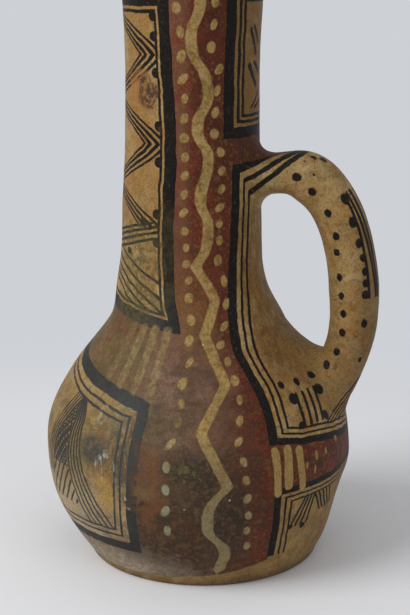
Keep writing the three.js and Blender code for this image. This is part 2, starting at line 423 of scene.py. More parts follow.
class Surface:  # where a point lies on the vessel, in the coordinates a painter works in
    def __init__(self, tree):
        p = pattern
        start = Wire(tree)
        self.true = start.place().scaled(1 / mm)
        sway = self.tremble(p["trembleSize"], p["tremble"])
        shake = self.tremble(p["shakeSize"], p["shake"])
        moved = self.true.vector("ADD", sway).vector("ADD", shake)
        self.x, self.y, self.z = [start.node("SeparateXYZ", {0: moved}, i) for i in range(3)]
        share = start.node("Clamp", {"Value": self.z / vessel["leanHeight"]})
        self.side = abs(self.y)
        across = self.x - share * (2 - share) * vessel["lean"]
        radius = hypot(across, self.side)
        self.bearing = start.math("ARCTAN2", self.side, across) * math.degrees(1)
        self.degree = radius * math.radians(1)  # length of one degree round the vessel
        self.fromHandle = self.bearing * self.degree
        self.fromSide = (180 - self.bearing) * self.degree
        top = vessel["mouth"][1]
        heights = range(0, top + 1, p["climbStep"])
        points = [(height / p["heightSpan"], readOff(climb, height) / p["climbSpan"]) for height in heights]
        points.append((1, (readOff(climb, top) + p["heightSpan"] - top) / p["climbSpan"]))
        lifted = start.node("FloatCurve", {"Value": self.z / p["heightSpan"]}, points=points)
        self.climb = lifted * p["climbSpan"]
        self.start = start
        self.front = self.y.under(0, 4)  # the side that faces the viewer
        self.broad = mottle(self.true, 38, 4)
        self.middle = mottle(self.true, 9, 4, 0.6)
        self.small = mottle(self.true, 3.0, 3, 0.6)
        self.grain = mottle(self.true, 1.0, 2, 0.6)
        drawnRound = self.true.vector("MULTIPLY", (0.14, 0.14, 1))
        self.streak = mottle(drawnRound, 2.4, 3, 0.6)  # burnishing
        drawnUp = self.true.vector("MULTIPLY", (1, 1, 0.17))
        self.run = mottle(drawnUp, 2.6, 3, 0.6)  # smears
        self.broken = self.small.over(0.48, 0.07) * 0.7 + 0.3

    def tremble(self, size, reach):  # the small wander of a hand-held brush
        inputs = {"Vector": self.true, "Scale": 1 / size, "Detail": 1.0}
        colour = self.true.node("TexNoise", inputs, "Color")
        parts = [colour.node("SeparateColor", {0: colour}, i) for i in range(3)]
        wander = colour.node("CombineXYZ", dict(enumerate(parts)))
        return wander.vector("SUBTRACT", (0.5, 0.5, 0.5)).scaled(reach * 2)

    def edge(self, points):  # a bearing that changes with the height, through a few points
        span = pattern["heightSpan"]
        spots = [(height / span, bearing / 180) for height, bearing in points]
        return self.start.node("FloatCurve", {"Value": self.z / span}, points=spots) * 180

    def path(self, points, low=-30, high=30):  # a value that changes with the climb, through a few points
        span = pattern["climbSpan"]
        spots = [(place[0] / span, (place[1] - low) / (high - low), *place[2:]) for place in points]
        drawn = self.start.node("FloatCurve", {"Value": self.climb / span}, points=spots)
        return drawn * (high - low) + low

    def away(self, bearing, climb, halfWidth, halfHeight):  # how far from a place, 1 at the edge of its oval
        return hypot((self.bearing - bearing) * self.degree / halfWidth, (self.climb - climb) / halfHeight)

    def spot(self, bearing, climb, halfWidth, halfHeight):
        return self.away(bearing, climb, halfWidth, halfHeight).under(1, 0.1)

    def cloud(self, bearing, climb, halfWidth, halfHeight, ragged, soft):  # stain on the near side
        away = self.away(bearing, climb, halfWidth, halfHeight) + (self.middle - 0.5) * ragged
        return (away + (self.small - 0.5) * ragged * 0.5).under(1, soft) * self.front

    def cut(self, out, aside, down, shift):  # how far a point lies past a flat cut across the handle's arm
        return self.x * out + self.side * aside - self.z * down + shift

    def chance(self, number):  # a steady random value for each numbered dot
        return number.node("TexWhiteNoise", {"W": number}, noise_dimensions="1D")


def stripes(distance, *edges, span=18, soft=0.13):  # black between each pair of edges, from a border inwards
    stops = [(0, 0)]
    for i, edge in enumerate(edges):
        stops += [((edge - soft) / span, i % 2), ((edge + soft) / span, 1 - i % 2)]
    ramp = distance.node("ValToRGB", {"Fac": distance / span}, stops=stops)
    return ramp.node("RGBToBW", {0: ramp})


def stroke(across, up, begin, end, half):  # a brush stroke with round ends
    run, rise = end[0] - begin[0], end[1] - begin[1]
    share = ((across - begin[0]) * run + (up - begin[1]) * rise) / (run * run + rise * rise)
    share = share.node("Clamp", {"Value": share})
    return hypot(across - begin[0] - share * run, up - begin[1] - share * rise).under(half, 0.18)


def dotColumn(s, across, path, count):
    p = pattern
    step = s.path(count, -5, 35) + 0.5
    number = step.floor()
    jitter = s.chance(number)
    up = (step.fract() - 0.5) * p["dotPitch"]
    slant = up * (s.chance(number + 40) * 0.5 - 0.05)
    aside = across - s.path(path) + slant + (jitter - 0.5)
    half = p["dotHalfWidth"] * (0.85 + jitter * 0.35)
    return hypot(aside / half, up / p["dotHalfHeight"]).under(1, 0.12)


def fan(s, topBearing, spread, topClimb, lowClimb, lines, gap, opening, half):  # strokes that open downwards
    share = (topClimb - s.climb) / (topClimb - lowClimb)
    number = (topBearing + spread * share - s.bearing) / (gap + opening * share)
    nearest = (number + 0.5).floor()
    thin = abs(number - nearest) * (gap + opening * share) * s.degree
    inLines = nearest.over(-0.5) * nearest.under(lines - 0.5)
    return thin.under(half, 0.15) * inLines * s.climb.over(lowClimb) * s.climb.under(topClimb)


# Panel down the side of the neck: its edge as heights and bearings, its foot and top, then what it holds
neckSide = dict(
    edge=[(0, 85), (135, 88), (150, 92.3), (168, 94.2), (200, 93.3), (231, 91.7), (262, 94.2), (293, 96.8),
          (340, 98.5)],
    foot=137.4, footSlope=0.123, top=308.5, topLean=0.8, border=(0, 6.4, 7.6, 9.1), inside=7.6,
    link=45.5, linkAt=293, linkIn=9, linkOpen=0.95, linkCurve=0.035,  # the links of the chain of chevrons
    chevron=(1.0, 3.7, 6.0, 9.2, 11.0, 14.0, 15.2, 17.4), chevronBack=6, chevronFrom=203.5,
    halfDot=2.8, halfDotIn=0.5, halfDotUp=9.3, halfDotFrom=204, endDot=2.7, endDots=(312.5, 196.4),
    level=(0.2, 1.8, 3.5, 5.1, 6.4, 8, 9.1, 10.7), levelAt=185.6, levelSlope=0.25, levelTop=207,
    slant=(1.2, 2.4, 4.6, 6, 8.4, 9.9, 13, 14.6, 19.4, 21), slantAt=177, slantSlope=0.46, slantTop=190.5,
    smallDots=[(38, 206.6, 2.3), (26.5, 189.6, 2.1)])


def neckSidePanel(s):  # tall panel with its chain of chevrons
    n = neckSide
    u = s.fromSide
    fromEdge = (s.bearing - s.edge(n["edge"])) * s.degree
    aboveFoot = s.climb - (s.bearing * n["footSlope"] + n["foot"])
    distance = least(fromEdge, aboveFoot, (n["top"] - s.z) * n["topLean"])
    border = stripes(distance, *n["border"])
    within = fromEdge - n["linkIn"]
    beat = abs(((s.climb - n["linkAt"]) / n["link"] + 0.5).fract() - 0.5) * n["link"]
    opened = within - beat * (beat * n["linkCurve"] + n["linkOpen"])
    chevron = stripes(opened + n["chevronBack"], *n["chevron"]) * s.climb.over(n["chevronFrom"])
    dotAside = within - n["halfDotIn"]
    halfDots = hypot(dotAside, beat - n["halfDotUp"]).under(n["halfDot"]) * s.climb.over(n["halfDotFrom"])
    endDots = union(hypot(dotAside, s.climb - place).under(n["endDot"]) for place in n["endDots"])
    level = stripes(s.climb - u * n["levelSlope"] - n["levelAt"], *n["level"]) * s.climb.under(n["levelTop"])
    slant = stripes(s.climb + u * n["slantSlope"] - n["slantAt"], *n["slant"], span=24)
    slant = slant * s.climb.under(n["slantTop"])
    small = union(hypot(u - aside, s.climb - up).under(half) for aside, up, half in n["smallDots"])
    drawn = most(chevron, halfDots, endDots, level, slant, small)
    return distance, most(border, drawn * distance.over(n["inside"]))


# Gabled panel on the side of the belly, and the two legs of its figure, which open downwards from a peak
bellySide = dict(
    edge=106.5, edgeSlope=0.075, gable=132.5, gableSlope=0.222, gableLean=0.96, floor=24,
    border=(0, 6.0, 9, 10.3, 12.6, 13.9), inside=13, peak=111.5,
    lines=5, lineHalf=0.7, lineGap=0.9, lineOpening=0.045,
    rightLeg=68.2, rightCurl=18, rightRate=-0.07, kick=7, kickFrom=44, kickTo=74,
    leftLeg=(0, 1.3, 2.7, 4.0, 5.4, 6.7, 8.1, 9.3), leftAt=50.4, leftSlope=0.24, leftFrom=58, leftWidth=8,
    steep=0.75, flat=0.62, weave=2.9, weaveHalf=0.22, weaveFrom=66, dash=5.2, dashHalf=0.17, dashFrom=46)


def bellySidePanel(s):  # the legs, with weaving and dashes between them
    b = bellySide
    u = s.fromSide
    distance = least((s.bearing - (b["edge"] - s.z * b["edgeSlope"])) * s.degree,
                     (b["gable"] - u * b["gableSlope"] - s.climb) * b["gableLean"], s.climb - b["floor"])
    border = stripes(distance, *b["border"])
    drop = b["peak"] - s.climb
    gap = drop * b["lineOpening"] + b["lineGap"]
    curl = s.start.math("EXPONENT", drop * b["rightRate"]) * b["rightCurl"]
    rightLeg = b["rightLeg"] - curl + drop.ramp(b["kickFrom"], b["kickTo"]) * b["kick"]
    number = (u - rightLeg) / gap
    thin = abs(number - (number + 0.5).floor()) * gap
    bundle = thin.under(b["lineHalf"], 0.15) * number.over(-0.5) * number.under(b["lines"] - 0.5)
    leftEdge = u - (b["leftAt"] - drop * b["leftSlope"])
    leftLeg = stripes(leftEdge, *b["leftLeg"]) * s.climb.over(b["leftFrom"])
    steep, flat = u - s.climb * b["steep"], u + s.climb * b["flat"]
    weave = union(abs((way / b["weave"]).fract() - 0.5).under(b["weaveHalf"], 0.06) for way in (steep, flat))
    dashes = abs((steep / b["dash"]).fract() - 0.5).under(b["dashHalf"], 0.04) * s.climb.over(b["dashFrom"])
    between = leftEdge.over(b["leftWidth"]) * number.under(-0.4)
    figure = most(bundle, leftLeg, most(weave * s.climb.over(b["weaveFrom"]), dashes) * between)
    return distance, most(border, figure * drop.over(0.3) * distance.over(b["inside"]))


# Panel on the neck above the handle; its brush strokes have two ends and a half width
neckOver = dict(
    edge=59.1, edgeSlope=0.028, floor=233.5, top=314.7, lean=1.12,
    border=(0, 6.3, 8.2, 10.2, 11.6, 13.5), inside=14,
    strokes=[((15, 288.5), (8.9, 277), 1.2), ((11.2, 290), (6, 282.5), 1.2), ((15, 269.6), (8, 260), 1.3),
             ((10, 271.5), (4, 266.5), 1.2), ((12.6, 249), (4.5, 256), 0.8), ((9, 248.5), (2, 252), 0.9),
             ((15.2, 269.9), (14.6, 269.2), 1.7), ((9, 277.2), (8.8, 276.6), 1.3)])


def neckOverPanel(s):
    n = neckOver
    distance = least((n["edge"] - s.z * n["edgeSlope"] - s.bearing) * s.degree,
                     (s.z - n["floor"]) * n["lean"], (n["top"] - s.z) * n["lean"])
    border = stripes(distance, *n["border"], span=20)
    drawn = union(stroke(s.fromHandle, s.z, *mark) for mark in n["strokes"])
    return distance, most(border, drawn * distance.over(n["inside"]))


# Panel round the handle. A flat cut gives how it runs outwards, aside and down, and its place; a line gives
# where it begins and ends on the wall, its half width over the arm and its cut
handleSide = dict(
    edge=[(0, 52), (80, 52.2), (106, 52.2), (128, 57), (155, 51.5), (175, 49), (220, 44.5), (350, 44)],
    floor=76, floorSlope=0.2, floorLean=1.5, band=5.4, inside=12.5,
    topCut=(0.327, 0.169, 0.93, 193.6), bandCut=(0.502, 0.12, 0.857, 170.3),
    lines=[(7.8, 9.5, 1.3, (0.538, 0.109, 0.835, 160.4)), (12.1, 13.9, 1.4, (0.627, 0.078, 0.774, 139.6))],
    fan=dict(topBearing=31.6, spread=1.9, topClimb=109.5, lowClimb=91, lines=4, gap=4.8, opening=-1.1,
             half=1.2),
    spots=[(34.2, 107, 3.0, 3.0), (15.7, 107, 2.6, 3.2), (19.2, 93, 3.0, 2.9), (34.8, 92.6, 3.2, 2.5),
           (26.7, 115, 2.5, 2.4), (37.3, 115.7, 2.1, 2.2), (15.5, 115.8, 2.1, 2.3)],
    rootSpot=(69.3, 110.9, 1.9, 2.4),
    sprays=(1.5, 2.8, 4.1, 5.4, 6.7, 8.0, 9.3, 10.8), sprayAt=17.3, spraySlope=1.27,
    sprayEdge=20.5, sprayFrom=50)


def handlePanel(s):  # its top border climbs from the neck over the arm
    h = handleSide
    onWall = least((s.edge(h["edge"]) - s.bearing) * s.degree,
                   (s.climb - s.bearing * h["floorSlope"] - h["floor"]) * h["floorLean"])
    distance = least(onWall, s.cut(*h["topCut"]))
    border = most(onWall.under(h["band"]), s.cut(*h["bandCut"]).under(0)) * distance.over(0)
    for begin, finish, half, place in h["lines"]:
        cut = s.cut(*place)
        upright = stripes(onWall, begin, finish) * cut.over(-half)
        border = most(border, upright, abs(cut).under(half) * onWall.over(begin))
    spots = union(s.spot(*place) for place in h["spots"])
    x, z, halfWidth, halfHeight = h["rootSpot"]
    rootSpot = hypot((s.x - x) / halfWidth, (s.z - z) / halfHeight).under(1, 0.1) * s.side.over(5)
    sprays = stripes(s.z - s.x * h["spraySlope"] + h["sprayAt"], *h["sprays"])
    sprays = sprays * s.bearing.under(h["sprayEdge"], 0.4) * s.x.over(h["sprayFrom"])
    drawn = most(fan(s, **h["fan"]), spots, rootSpot, sprays) * distance.over(h["inside"])
    return distance, most(border, drawn)


# Low panel under the handle, open to the bare foot
footSide = dict(
    edge=51.7, top=62.5, topLean=1.3, border=(0, 4.6, 6.8, 8.2, 10.4, 11.8), bareBelow=16.3, inside=10.8,
    leftFan=dict(topBearing=35.8, spread=7.0, topClimb=56, lowClimb=36, lines=4, gap=1.7, opening=1.3,
                 half=0.85),
    rightFan=dict(topBearing=33, spread=-8, topClimb=57, lowClimb=41, lines=5, gap=2.8, opening=-0.7,
                  half=0.9),
    spots=[(42.4, 36.5, 2.0, 1.7), (35.3, 35, 1.9, 1.9)])


def footPanel(s):
    f = footSide
    distance = least((f["edge"] - s.bearing) * s.degree, (f["top"] - s.climb) * f["topLean"])
    border = stripes(distance, *f["border"]) * s.z.over(f["bareBelow"], 0.4)
    spots = union(s.spot(*place) for place in f["spots"])
    drawn = most(fan(s, **f["leftFan"]), fan(s, **f["rightFan"]), spots)
    return distance, most(border, drawn * distance.over(f["inside"]))


def crackle(place, size, width):  # crazing in the slip
    inputs = {"Vector": place, "Scale": 1 / size, "Randomness": 1.0}
    edge = place.node("TexVoronoi", inputs, "Distance", feature="DISTANCE_TO_EDGE")
    return edge.under(width, width * 0.6)


def freckles(place, size, radius, share):  # sparse round specks
    inputs = {"Vector": place, "Scale": 1 / size, "Randomness": 1.0}
    near = place.node("TexVoronoi", inputs, "Distance")
    colour = place.node("TexVoronoi", inputs, "Color")
    chosen = colour.node("SeparateColor", {0: colour}).under(share, 0.01)
    return near.under(radius / size, 0.05) * chosen


def creamGround(s, onHandle):  # cream slip over ochre clay, rubbed through in places
    yield "cream", s.broad.over(0.45, 0.2)
    yield "pale", s.middle.over(0.54, 0.1) * 0.6
    yield "rust", mottle(s.true, 15, 3).over(0.54, 0.1) * s.small.over(0.44, 0.13) * 0.6
    yield "umber", s.small.over(0.6, 0.07) * 0.45
    if onHandle:
        yield "olive", mottle(s.true, 11, 4, 0.65).over(0.58, 0.08) * 0.4
        yield "tan", s.z.under(128, 30) * (s.middle.over(0.47, 0.15) * 0.4 + 0.15)
        # painted shade down the handle's outer side
        yield "umber", s.x.over(85, 5) * s.z.over(105, 8) * 0.45
        # tan where the luting rises into the hollow under the handle: partly soiling, partly painted shade
        # under the handle
        inHandAndShade = s.x.under(62, 9) * s.z.under(150, 8)
        yield "tan", inHandAndShade * (s.middle.over(0.45, 0.1) * 0.3 + 0.2)
        return
    # darker tan in the panel over the handle: partly its own tone, partly painted shade of the neck's right
    # side
    yield "tan", s.bearing.under(60, 4) * s.climb.over(245, 6) * 0.66
    neck = s.bearing.over(105, 5) * s.climb.over(205, 15)
    yield "ochre", neck * mottle(s.true, 22, 4).over(0.47, 0.09) * 0.7
    # tan behind the handle: partly soiling from handling, partly painted shade where the handle shades the
    # wall
    handledAndShaded = s.bearing.under(41, 5) * s.climb.over(120, 12) * s.climb.under(216, 10)  # behind the hand
    soiledAndShaded = s.run.over(0.47, 0.13) * 0.42 + s.climb.under(150, 12) * 0.2 + 0.22
    yield "tan", handledAndShaded * soiledAndShaded
    # tan mottling low on the belly on the handle's side
    lowOnHandleSide = s.climb.under(60, 8) * s.bearing.under(75, 12)
    yield "tan", lowOnHandleSide * (s.middle.over(0.5, 0.1) * 0.5 + 0.12)
    yield "dusty", s.cloud(135, 40, 32, 20, 1.2, 0.7) * (s.small.over(0.47, 0.1) * 0.4 + 0.25)
    grimy = s.bearing.over(112, 6) * s.climb.under(108, 12) * s.climb.over(56, 16)
    yield "olive", grimy * (s.middle.over(0.48, 0.08) * 0.6 + 0.15)


def redGround(s):  # burnished red, smokier down the belly, rubbed to a wash on the shoulder
    low = s.climb.under(125, 45)
    brown = low * s.bearing.over(64, 10)
    yield "oxblood", s.middle.over(0.49, 0.08) * 0.75
    yield "brick", s.small.over(0.54, 0.08) * 0.36
    # darker red up the neck on the handle's side: painted shade of the neck's right side
    yield "oxblood", s.bearing.under(75, 6) * s.climb.over(225, 25) * 0.45
    rubbedSide = s.bearing.over(83, 5) * s.climb.over(140, 15)
    yield "blush", rubbedSide * (s.middle.over(0.46, 0.12) * 0.45 + 0.15)
    yield "worn", s.small.under(0.43, 0.05) * s.broad.over(0.45, 0.12) * 0.45
    yield "redBrown", brown * (s.middle.over(0.47, 0.1) * 0.55 + 0.38)
    yield "dusk", low * s.streak.over(0.55, 0.07) * 0.5
    yield "dusk", brown * s.small.over(0.55, 0.05) * 0.4
    yield "wash", brown * s.small.under(0.43, 0.05) * 0.4
    pinkish = s.cloud(93, 108, 27, 34, 1.4, 0.6)
    yield "pink", pinkish * (s.streak.over(0.45, 0.1) * 0.3 + s.small.over(0.46, 0.08) * 0.5)
    yield "redBrown", pinkish * s.middle.over(0.53, 0.05) * 0.75
    yield "worn", s.cloud(78, 158, 9, 20, 1.8, 0.5) * s.broken * 0.5
    shoulder = s.bearing.over(103, 8) * s.climb.over(106, 10) * s.climb.under(158, 5)
    yield "wash", shoulder * (s.small.over(0.46, 0.09) * 0.55 + 0.4)
    yield "olive", shoulder * s.middle.over(0.5, 0.06) * s.broken * 0.95
    yield "red", shoulder * s.run.over(0.54, 0.06) * s.small.under(0.52, 0.06) * 0.3
    yield "red", s.cloud(126, 151, 20, 7, 2.2, 0.3) * s.small.over(0.48, 0.05) * 0.7
    yield "olive", s.cloud(95, 98, 18, 15, 2.0, 0.5) * s.broken * 0.45
    yield "dusk", s.cloud(30, 244, 16, 9, 1.6, 0.5) * s.broken * 0.5
    yield "dusty", s.cloud(126, 11, 38, 14, 1.6, 0.6) * (s.broken * 0.6 + 0.2)
    flaked = s.small.over(0.66, 0.03) * s.broad.over(0.45, 0.1)
    yield "ochre", flaked * 0.32


def frontBand(s, colour, red):  # wavy line and its two columns of dots on the red
    p = pattern
    across = (p["frontBearing"] - s.bearing) * s.degree
    begin, run = p["zigzagEnd"]  # the line starts from a point at the foot
    half = least((s.climb - begin) / run, 1) * p["zigzagHalf"]
    wave = (abs(across - s.path(p["zigzag"])) - half).under(0, 0.35)
    left = dotColumn(s, across, p["leftPath"], p["leftCount"]) * s.climb.over(p["leftFrom"])
    right = dotColumn(s, across, p["rightPath"], p["rightCount"]) * s.climb.over(p["rightFrom"])
    light = most(wave, left, right) * red * s.climb.under(p["bandTop"])
    light = light * (1 - s.cloud(87.5, 101.5, 6, 5, 0.6, 0.3) * 0.6)  # one dot is nearly rubbed away
    paint = blend(tone["paint"], tone["dust"], s.small.over(0.52, 0.12) * 0.5)
    paint = paint.lay("ash", s.climb.under(74, 24) * 0.75)
    greyed = s.bearing.over(85, 3) * s.climb.under(88, 8)
    paint = paint.lay("lichen", greyed * (s.small.over(0.45, 0.1) * 0.6 + 0.2))
    paint = paint.lay("worn", s.middle.over(0.53, 0.08) * 0.3)
    paint = paint.lay("umber", crackle(s.true, 1.5, 0.08) * s.middle.over(0.48, 0.08) * 0.2)
    rubbed = s.small.under(0.41, 0.04) * 0.4
    return blend(colour, paint, light * (0.96 - rubbed)), light


# Bars below the handle panel: their two ends and half width; drips beside them: place and half sizes
underBars = [((72.3, 83), (71.8, 60), 2.2), ((64.6, 82), (65.3, 63.6), 2.7), ((57.2, 81), (56, 60.6), 2.3)]
drips = [(31.6, 75, 1.4, 2.6), (32.3, 68, 0.9, 2.2), (36.8, 72, 0.9, 2), (25.5, 75.5, 1.1, 2),
         (17, 79, 1.5, 1.6)]


def bars(s, colour, red):  # ochre bars below the neck panel, below the handle panel and at the foot
    spacing = 8.45
    slant = (s.bearing - 96.6 - (150 - s.climb) * 0.1) / spacing
    aside = ((slant + 0.5).fract() - 0.5) * spacing * s.degree
    above = most(s.climb - 150.5, s.climb * 0)
    shoulder = hypot(aside, above).under(2.2, 0.5) * slant.over(-0.45, 0.02) * s.climb.over(112, 12)
    shoulder = shoulder * s.bearing.under(124, 8) * most(red, s.climb.over(142, 1)) * (s.broken * 0.4 + 0.22)
    upright = s.bearing * 1.43
    under = union(stroke(upright, s.climb, *bar) for bar in underBars)
    dripped = union(s.spot(*drip) for drip in drips) * 0.8
    foot = abs((s.bearing / 6.4 + s.climb * 0.035).fract() - 0.5).under(0.22, 0.06) * s.bearing.over(119)
    foot = foot * s.climb.under(25) * red * s.broken * 0.55
    paint = blend(tone["bar"], tone["dust"], s.small.over(0.55, 0.12) * 0.4)
    paint = paint.lay("yellow", s.bearing.under(75) * 0.35)
    return blend(colour, paint, most(shoulder, under, dripped, foot))


# Dots along the handle, the inner row then the outer: distance along, degrees from the spine and half size
handleDots = [
    (22, 90, 2.4), (33.5, 101, 2.3), (48.5, 101, 2.1), (62, 104, 2.1), (71, 113, 1.9), (85, 116, 1.9),
    (95.5, 115, 1.9), (105.5, 111, 2.0), (116.5, 110, 2.1), (128.5, 112, 2.1),
    (25, 26, 1.2), (28.5, 16, 1.5), (46.5, 49, 2.4), (58, 54, 2.6), (69, 54, 2.2), (76.5, 52, 2.0),
    (83.5, 52, 2.0), (89.5, 53, 2.0), (95.5, 56, 2.1), (110.5, 58, 2.0), (129, 47, 1.3)]


def handleMarks(s):  # two rows of dots and the spine lines along the handle
    along = s.start.node("Attribute", output="Fac", attribute_name="along")
    around = s.start.node("Attribute", output="Fac", attribute_name="around")
    girth = 0.233  # mm round the roll for each degree
    dots = union(hypot((along - place) / (half * 1.12), (around - turn) * girth / half).under(1, 0.1)
                 for place, turn, half in handleDots)
    spine = along.over(44) * along.under(98)
    share = (along - 45) / 52
    lines = most(abs(around - 46).under(3.8, 0.6), abs(around - 37 + share * 12).under(4, 0.6),
                 abs(around - 23 + share * 6).under(4.6, 0.6), around.under(6, 0.6))
    flecks = freckles(s.true, 6, 0.75, 0.3) * along.over(14) * along.under(56)
    return most(dots, lines * spine, freckles(s.true, 8, 0.8, 0.15), flecks)


# Marks of use in the order they came: slip, bearing, climb, half width, half height, how ragged and how soft
# the edge is, what breaks the mark up, and its strength
marks = [
    ("rust", 127, 274, 9, 11, 2.2, 0.25, "broken", 0.6),
    ("stain", 118.5, 274, 6.5, 8, 2.0, 0.15, "broken", 0.95),
    ("olive", 125, 186, 20, 27, 1.8, 0.6, "broken", 0.7),
    ("olive", 128, 160, 18, 11, 1.8, 0.4, "broken", 0.6),
    ("dusk", 77, 73, 13, 12, 2.4, 0.4, "onRed", 0.9),
    ("dusk", 86, 77, 11, 8, 2.4, 0.4, "onRed", 0.9),
    ("dusk", 69, 46, 10, 20, 2.4, 0.4, "onRed", 0.95),
    ("dusk", 88, 50, 20, 16, 2.4, 0.4, "onRed", 0.45),
    ("dusk", 92, 26, 30, 9, 2.4, 0.4, "onRed", 0.5),
    ("dusk", 62, 70, 7, 10, 2.4, 0.4, "onRed", 0.3),
    ("ember", 99, 67, 9, 20, 2.4, 0.25, "onRed", 0.9),
    ("wash", 99.5, 62.5, 6, 4, 2.6, 0.3, "onRed", 0.85),
    ("dusk", 102, 57, 7, 3, 2.6, 0.2, "dense", 0.9),
    ("moss", 84, 73, 10, 8, 2.6, 0.3, "sparse", 0.65),
    ("moss", 84.5, 77, 3.0, 1.8, 1.8, 0.3, "broken", 0.8),
    ("slate", 107.5, 84, 11, 24, 1.2, 0.5, "smeared", 1),
    ("slate", 118, 40, 22, 9, 2.0, 0.4, "broken", 0.5),
    ("slate", 121, 80.5, 9, 8, 1.5, 0.3, "clouded", 1),
    ("yellow", 115.5, 58, 5.5, 10, 1.8, 0.2, "broken", 0.7),
    ("chalk", 114.5, 73, 6, 7, 2.2, 0.3, "runs", 0.65),
    ("chalk", 119, 99, 4, 6, 2.2, 0.3, "thin", 0.5)]
chips = [(106, 52.5, 1.1, 0.7), (106.8, 58, 0.6, 1.3), (85, 55.5, 0.6, 0.5), (69, 60, 0.6, 0.5),
         (74, 143, 0.5, 0.6)]


def stains(s, light):  # smoke, rubbed places and chips where the real one has them
    breakUps = dict(
        broken=s.broken,
        onRed=s.broken * (1 - light * 0.75),  # the light paint lies over most of the smoke
        dense=s.small.over(0.52, 0.04),
        thin=s.small.over(0.56, 0.04),
        sparse=s.small.over(0.58, 0.03),
        runs=s.run.over(0.56, 0.04),
        smeared=s.run.over(0.45, 0.07) * 0.6 + 0.2,
        clouded=s.broken * 0.4 + 0.55)
    for slip, *place, breakUp, strength in marks:
        yield slip, s.cloud(*place) * breakUps[breakUp] * strength
    yield "chalk", union(s.spot(*chip) for chip in chips) * s.front * s.broken * 0.8


def paintedSkin(name, panels, onHandle=False):
    material = newMaterial(name)
    s = Surface(material.node_tree)
    black, cream = None, None
    for panel in panels:
        distance, drawn = panel(s)
        inside = distance.over(0.7)  # the red runs in under the black
        black = drawn if black is None else most(black, drawn)
        cream = inside if cream is None else most(cream, inside)
    red = 1 - cream
    if not onHandle:
        bare = least(s.start.math("EXPONENT", (s.bearing - 45) / -25) * 14 + 4, 20)
        red = red * (s.z - bare).over(0, 0.5)  # bare edge at the foot
    creamSlip = laid(tone["ochre"], creamGround(s, onHandle))
    colour = blend(creamSlip, laid(tone["red"], redGround(s)), red)
    light = black * 0
    if onHandle:
        black = most(black, handleMarks(s))
    else:
        colour, light = frontBand(s, colour, red)
    smudged = s.cloud(118, 84, 40, 60, 0.8, 0.6)  # the black is greyest on the near side of the belly
    blackTone = blend(tone["black"], tone["slate"], smudged * (s.middle.over(0.42, 0.2) * 0.7 + 0.25))
    rubbed = s.small.over(0.64, 0.06) * 0.16 + s.grain.over(0.68, 0.05) * 0.12
    colour = blend(colour, blackTone, black * (1 - light) * (0.993 - rubbed))
    if not onHandle:
        colour = laid(bars(s, colour, red), stains(s, light))
    cracks = crackle(s.true, 13, 0.012) * s.middle.over(0.5, 0.1)
    colour = colour.lay("umber", cracks * (0.6 if onHandle else 0.2))
    colour = colour.lay("umber", s.grain.over(0.57, 0.08) * (0.38 - black * 0.33))
    colour = colour.lay("dust", s.grain.under(0.38, 0.06) * (0.18 - red * 0.1 - black * 0.15))
    if not onHandle:
        colour = colour.lay("dusk", s.z.under(3.5, 3) * 0.5)  # painted shade where it meets the shelf
    roughness = 0.47 + s.middle * 0.2 - black * 0.05 + cracks * 0.1
    height = s.broad * 0.3 + s.small * 0.22 + s.grain * 0.14 - cracks * 0.12
    return closeMaterial(material, colour, roughness, height, 0.55)


def rawClay():  # bare clay of the inside and the underside, smoothed with wet fingers
    material = newMaterial("bare_clay")
    place = Wire(material.node_tree).place().scaled(1 / mm)
    broad = mottle(place, 30, 4)
    grain = mottle(place, 1.4, 4, 0.65)
    wipes = mottle(place.vector("MULTIPLY", (0.12, 0.12, 1)), 5)
    colour = blend(tone["raw"], tone["rawDark"], broad.over(0.52, 0.2))
    colour = colour.lay("dusk", wipes.over(0.58, 0.1) * 0.35)
    colour = colour.lay("pale", grain.over(0.62, 0.06) * 0.35)
    roughness = 0.78 + grain * 0.16
    return closeMaterial(material, colour, roughness, wipes * 0.6 + grain * 0.3 + broad * 0.3, 0.8)


wallSkin = paintedSkin("painted_wall", [neckSidePanel, bellySidePanel, neckOverPanel, handlePanel, footPanel])
handleSkin = paintedSkin("painted_handle", [handlePanel], onHandle=True)
rawSkin = rawClay()
nodeCounts = [len(skin.node_tree.nodes) for skin in (wallSkin, handleSkin, rawSkin)]
print("slips mixed: nodes on the wall, handle and bare clay", nodeCounts)


# Base, wall and lip

def topOf(node):
    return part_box(node)[1].z / mm


def bottomOf(node):
    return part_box(node)[0].z / mm


def isInside(co):
    radius = math.hypot(co.x - leanAt(co.z), co.y)
    return radius < readOff(outerFace, co.z) - vessel["wall"] * 0.6


def baseSlab():
    v = vessel
    edgeTop = bottomOf("foot_wall")
    floorTop = topOf("base_slab")
    rounding = v["footRound"]
    edgeStart = readOff(outerFace, rounding)
    profile = [((edgeStart - rounding) * share, 0) for share in (0, 0.25, 0.5, 0.75, 1)]
    for step in range(1, 6):
        turn = math.pi / 2 * step / 6
        profile.append((edgeStart - rounding * (1 - math.sin(turn)), rounding * (1 - math.cos(turn))))
    profile += faceRun(outerFace, rounding, edgeTop, v["footRowHeight"])
    rim = readOff(innerFace, floorTop)
    profile += [(rim * share, floorTop) for share in (1, 0.75, 0.5, 0.25, 0)]
    bm = turned(profile, closed=False)
    return fired(bm, "base_slab", "cream_slip", wallSkin, rawSkin,
                 isInside=lambda co: co.z < 0.4 or isInside(co))


lifts = ["foot_wall", "lower_belly_wall", "upper_belly_wall", "shoulder_wall", "lower_neck_wall",
         "upper_neck_wall", "mouth_wall"]


def wallLift(number):
    node = lifts[number]
    above = (lifts + ["lip_coil"])[number + 1]
    outerLow = topOf(lifts[number - 1]) if number else bottomOf(node)
    innerLow = bottomOf(node) if number else topOf("base_slab")
    outer = faceRun(outerFace, outerLow, topOf(node), vessel["rowHeight"])
    inner = faceRun(innerFace, bottomOf(above), innerLow, vessel["innerRowHeight"])
    return fired(turned(outer + inner, closed=True), node, "red_slip", wallSkin, rawSkin, isInside=isInside)


